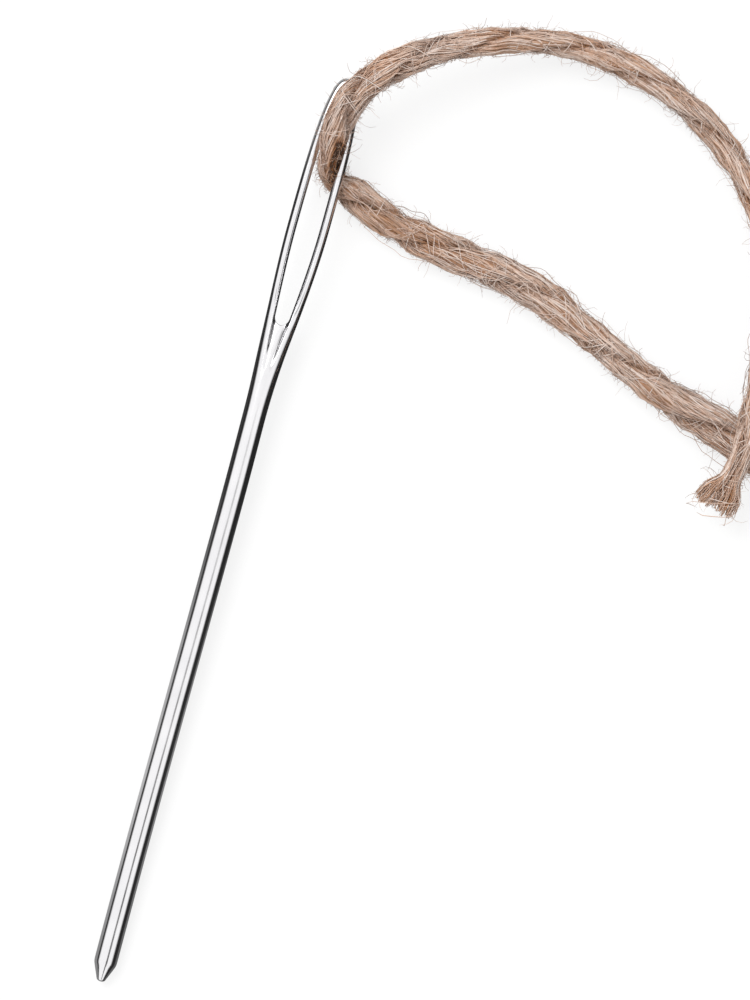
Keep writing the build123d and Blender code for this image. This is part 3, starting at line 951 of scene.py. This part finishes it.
class TwineLook(bpy.types.PropertyGroup):
    """The jute twine: how many fibres it has, and their colours."""

    fibres: FloatProperty(
        name="Fibres", description="Fibres that start on each millimetre of the twine",
        default=38.0, min=1, max=100,
    )
    strays: FloatProperty(
        name="Strays", description="Loose fibres on each millimetre of the twine",
        default=6.5, min=0, max=50,
    )
    hairs: FloatProperty(
        name="Hairs", description="Hairs that stand off each millimetre of the twine",
        default=108.0, min=0, max=200,
    )
    wisps: FloatProperty(
        name="Wisps", description="Long fibres that bow off each millimetre of the twine",
        default=3.0, min=0, max=20,
    )
    seed: IntProperty(name="Seed", description="Which of the random twines this is", default=7)
    drift: FloatProperty(
        name="Drift", description="How much the shade drifts along the twine", default=0.3,
        min=0, max=1, subtype="FACTOR",
    )
    fleck: FloatProperty(
        name="Fleck", description="How much the shade varies along a fibre", default=0.28,
        min=0, max=1, subtype="FACTOR",
    )
    core: FloatVectorProperty(
        name="Core", description="Colour of the hollows that no light reaches",
        default=(0.075, 0.042, 0.026), subtype="COLOR", min=0, max=1,
    )
    # Partly painted shade: the darkened depths and the hollow in the eye take this colour
    deep: FloatVectorProperty(
        name="Deep", description="Colour between the fibres",
        default=(0.28, 0.12, 0.058), subtype="COLOR", min=0, max=1,
    )
    brown: FloatVectorProperty(
        name="Brown", description="Colour of the darker fibres",
        default=(0.505, 0.293, 0.182), subtype="COLOR", min=0, max=1,
    )
    straw: FloatVectorProperty(
        name="Straw", description="Colour of the lighter fibres",
        default=(0.69, 0.495, 0.39), subtype="COLOR", min=0, max=1,
    )
    pale: FloatVectorProperty(
        name="Pale", description="Colour of the palest fibres and the hairs",
        default=(0.86, 0.76, 0.7), subtype="COLOR", min=0, max=1,
    )


class StageLook(bpy.types.PropertyGroup):
    """The light, the table and the camera."""

    sky: FloatProperty(name="Sky", description="Strength of the white tent", default=0.8, min=0)
    gleam: FloatProperty(
        name="Gleam", description="Strength of the tent in reflections", default=1.15, min=0
    )
    key: FloatProperty(
        name="Key", description="Strength of the soft key light", default=3.2, min=0
    )
    table: FloatProperty(
        name="Table", description="How much light the table gives back",
        default=0.25, min=0, max=1, subtype="FACTOR",
    )
    lens: FloatProperty(
        name="Lens", description="The camera's focal length in millimetres",
        default=250.0, min=10, unit="CAMERA",
    )


class YARN_OT_make_twine(bpy.types.Operator):
    """Lay the jute twine through the eye and round its loop"""

    bl_idname = "yarn_needle.make_twine"
    bl_label = "Make Twine"

    def execute(self, context):
        look = context.scene.yarn_twine
        material, hair = jute(look), jute(look, "jute_hair", HAIR_VIVID)
        line = twine_line()
        draw = np.random.default_rng(look.seed)
        first, last = line.s[0], line.s[-1]
        stretches = {
            "loop": (first, PARTINGS_MM[0]),
            "bight": PARTINGS_MM,
            "tail": (PARTINGS_MM[1], last),
        }
        for name, (low, high) in stretches.items():
            yarn = Strands()
            lay_plies(yarn, line, low, high)
            lay_fibres(yarn, line, draw, low, high, look.fibres)
            inside = max(low, first + HAIR_END_MM), min(high, last - HAIR_END_MM)
            lay_strays(yarn, line, draw, *inside, look.strays)
            yarn.build(f"{name}_yarn", material)
            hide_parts(f"twine_{name}")
            fuzz = Strands()
            lay_hairs(fuzz, line, draw, *inside, look.hairs)
            if name == "loop":
                ends = inside[0] + WISP_END_MM, EYE_FUZZ_MM[0] - WISP_GAP_MM
                lay_wisps(fuzz, line, draw, *ends, look.wisps)
            if name == "tail":
                lay_wisps(fuzz, line, draw, low, inside[1] - WISP_END_MM, look.wisps)
            eye_low, eye_high = max(low, EYE_FUZZ_MM[0]), min(high, EYE_FUZZ_MM[1])
            if eye_low < eye_high:
                lay_hairs(fuzz, line, draw, eye_low, eye_high, look.hairs)
            fuzz.build(f"{name}_fuzz", hair)
            name + "_fuzz"
        for name, exit_mm, others in (
            ("loop", LOOP_ROUTE[0], ("loop_fuzz", "bight", "bight_fuzz")),
            ("tail", TAIL_ROUTE[0], ("tail_fuzz",)),
        ):
            low, high = stretches[name]
            start = max(low - PATH_BEYOND_MM, first + PATH_END_MM)
            end = min(high + PATH_BEYOND_MM, last - PATH_END_MM)
            shown = (line.s >= start) & (line.s <= end)
            (high - low) * MM
            (line.places[shown] * MM).tolist()
        return {"FINISHED"}


class YARN_OT_make_needle(bpy.types.Operator):
    """Form the needle's point, shank, gutters and long eye as one skin"""

    bl_idname = "yarn_needle.make_needle"
    bl_label = "Make Needle"

    def execute(self, context):
        material = plated_steel(context.scene.yarn_steel)
        # The needle's own axes: across the eye, along the needle, and square to the eye
        axes = np.array([(1, 0, 0), NEEDLE_COURSE, (0, -NEEDLE_COURSE[2], NEEDLE_COURSE[1])])
        points, faces, dull, count = [], [], [], 0
        for grid in needle_quarter():
            for flip in ((1, 1, 1), (-1, 1, 1), (1, 1, -1), (-1, 1, -1)):
                local = grid.reshape(-1, 3) * flip
                dull.append(gutter_shade(local))
                local[:, 0] -= bow(local[:, 1])
                points.append(NOSE_MM + local @ axes)
                faces.append(grid_faces(grid.shape[0], grid.shape[1], count))
                count += len(local)
        faces = np.concatenate(faces).tolist()
        piece = new_piece(
            "needle_steel", np.concatenate(points), faces, "needle", material
        )
        # Each point's share of the gutters' roughness and painted shade, which the material reads
        mark(piece.data, "dull", dull)
        # The eight grids are sewn up into one skin
        skin = bmesh.new()
        skin.from_mesh(piece.data)
        bmesh.ops.remove_doubles(skin, verts=skin.verts, dist=1e-7)
        bmesh.ops.recalc_face_normals(skin, faces=skin.faces)
        skin.to_mesh(piece.data)
        skin.free()
        piece.data.shade_smooth()
        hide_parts("needle_shank", "needle_eye")
        return {"FINISHED"}


def white_tent(look):
    """The world: a plain white tent, which the camera sees as white. In reflections it has a
    thin grey seam overhead and a black strip at the right, both running the way the needle
    does, and a dark line at the horizon."""
    world = bpy.data.worlds.new("tent")
    bpy.context.scene.world = world
    tree = Tree(world)
    course = tree.add("ShaderNodeTexCoord")
    x, y, z = (
        tree.add("ShaderNodeSeparateXYZ", {}, [course], output=axis) for axis in range(3)
    )
    turn = tree.add("ShaderNodeMath", {"operation": "ARCTAN2"}, [x, z]) * (1 / TURN) + 0.5
    fade = tree.greys(y * SEAM_FADE_SCALE, SEAM_FADE)
    seam = tree.mix(fade, tree.greys(turn, SEAM), grey(1.0))
    tent = tree.mix(1.0, tree.greys(turn, STRIP), seam, "MULTIPLY")
    dark = tree.mix(1.0, tent, tree.greys(z, HORIZON), "MULTIPLY")
    seen, mirrored = (tree.add("ShaderNodeLightPath", output=kind) for kind in (0, 3))
    tone = tree.mix(mirrored, grey(1.0), dark)
    strength = mirrored * (look.gleam - look.sky) + look.sky
    lit = tree.add("ShaderNodeBackground", {}, [tone, strength])
    shown = tree.add("ShaderNodeBackground", {}, [grey(1.0), 1.0])
    tree.shade("ShaderNodeOutputWorld", tree.add("ShaderNodeMixShader", {}, [seen, lit, shown]))


def table_paint(look):
    """The table: a plain white floor that keeps the shadow, because part of its white is light
    that it gives off itself. Reflections see a grey card painted on it instead, a painted
    reflection."""
    material = bpy.data.materials.new("table")
    tree = Tree(material)
    seen, mirrored = (tree.add("ShaderNodeLightPath", output=kind) for kind in (0, 3))
    place = tree.add("ShaderNodeTexCoord", output=3)
    x, y = (tree.add("ShaderNodeSeparateXYZ", {}, [place], output=axis) for axis in (0, 1))
    across = tree.greys(x * (1 / CARD_WIDE) + 0.5, CARD_ACROSS)
    along = tree.greys(y * (1 / CARD_LONG) + 0.5, CARD_ALONG)
    # Painted reflection: the grey card that mirrored rays see on the table
    painted_reflection = tree.mix(across, grey(CARD_DARK), along)
    paint = tree.add("ShaderNodeBsdfDiffuse", {}, [grey(look.table)])
    glow = tree.add("ShaderNodeEmission", {}, [grey(1.0), seen * (TABLE_WHITE - look.table)])
    plain = tree.add("ShaderNodeAddShader", {}, [paint, glow])
    lit = tree.add("ShaderNodeEmission", {}, [painted_reflection, 1.0])
    tree.shade(
        "ShaderNodeOutputMaterial", tree.add("ShaderNodeMixShader", {}, [mirrored, plain, lit])
    )
    return material


class YARN_OT_make_stage(bpy.types.Operator):
    """Set up the camera, the white table, the tent round it and the key light"""

    bl_idname = "yarn_needle.make_stage"
    bl_label = "Make Stage"

    def execute(self, context):
        look = context.scene.yarn_stage
        scene = context.scene
        scene.view_settings.view_transform = "Standard"
        camera = bpy.data.cameras.new("camera")
        camera.lens, camera.sensor_width, camera.sensor_fit = look.lens, SENSOR_MM, "AUTO"
        camera.clip_start, camera.clip_end = 0.01, 10.0
        away = IMAGE_HIGH_MM * look.lens / SENSOR_MM
        eye = bpy.data.objects.new("camera", camera)
        eye.location = np.array(IMAGE_MIDDLE_MM) * MM + (0, 0, away * MM)
        eye.rotation_euler = (0, 0, IMAGE_TURN)
        scene.collection.objects.link(eye)
        scene.camera = eye

        key = bpy.data.lights.new("key", "AREA")
        key.shape, key.size, key.energy = "DISK", KEY_SIZE, look.key
        lamp = bpy.data.objects.new("key", key)
        lamp.location = KEY_PLACE
        lamp.rotation_euler = (-lamp.location.normalized()).to_track_quat("-Z", "Y").to_euler()
        scene.collection.objects.link(lamp)

        mesh = bpy.data.meshes.new("table")
        corners = [(-1, -1), (1, -1), (1, 1), (-1, 1)]
        corners = [(x * TABLE_HALF, y * TABLE_HALF, -TABLE_SINK) for x, y in corners]
        mesh.from_pydata(corners, [], [(0, 1, 2, 3)])
        mesh.materials.append(table_paint(look))
        table = bpy.data.objects.new("table", mesh)
        scene.collection.objects.link(table)
        white_tent(look)
        return {"FINISHED"}


class VIEW3D_PT_yarn_needle(bpy.types.Panel):
    """Settings of the threaded yarn needle, with a button for each group of pieces"""

    bl_label = "Yarn Needle"
    bl_space_type = "VIEW_3D"
    bl_region_type = "UI"
    bl_category = "Yarn Needle"

    def draw(self, context):
        scene = context.scene
        for look, operator in (
            (scene.yarn_stage, YARN_OT_make_stage),
            (scene.yarn_twine, YARN_OT_make_twine),
            (scene.yarn_steel, YARN_OT_make_needle),
        ):
            box = self.layout.box()
            for name in look.__annotations__:
                box.prop(look, name)
            box.operator(operator.bl_idname)


CLASSES = (
    NeedleLook, TwineLook, StageLook, YARN_OT_make_twine, YARN_OT_make_needle,
    YARN_OT_make_stage, VIEW3D_PT_yarn_needle,
)


def register():
    for entry in CLASSES:
        bpy.utils.register_class(entry)
    bpy.types.Scene.yarn_steel = PointerProperty(type=NeedleLook)
    bpy.types.Scene.yarn_twine = PointerProperty(type=TwineLook)
    bpy.types.Scene.yarn_stage = PointerProperty(type=StageLook)


def unregister():
    del bpy.types.Scene.yarn_steel
    del bpy.types.Scene.yarn_twine
    del bpy.types.Scene.yarn_stage
    for entry in reversed(CLASSES):
        bpy.utils.unregister_class(entry)


def main():
    register()
    bpy.ops.yarn_needle.make_stage()
    bpy.ops.yarn_needle.make_twine()
    bpy.ops.yarn_needle.make_needle()


if __name__ == "__main__":
    main()
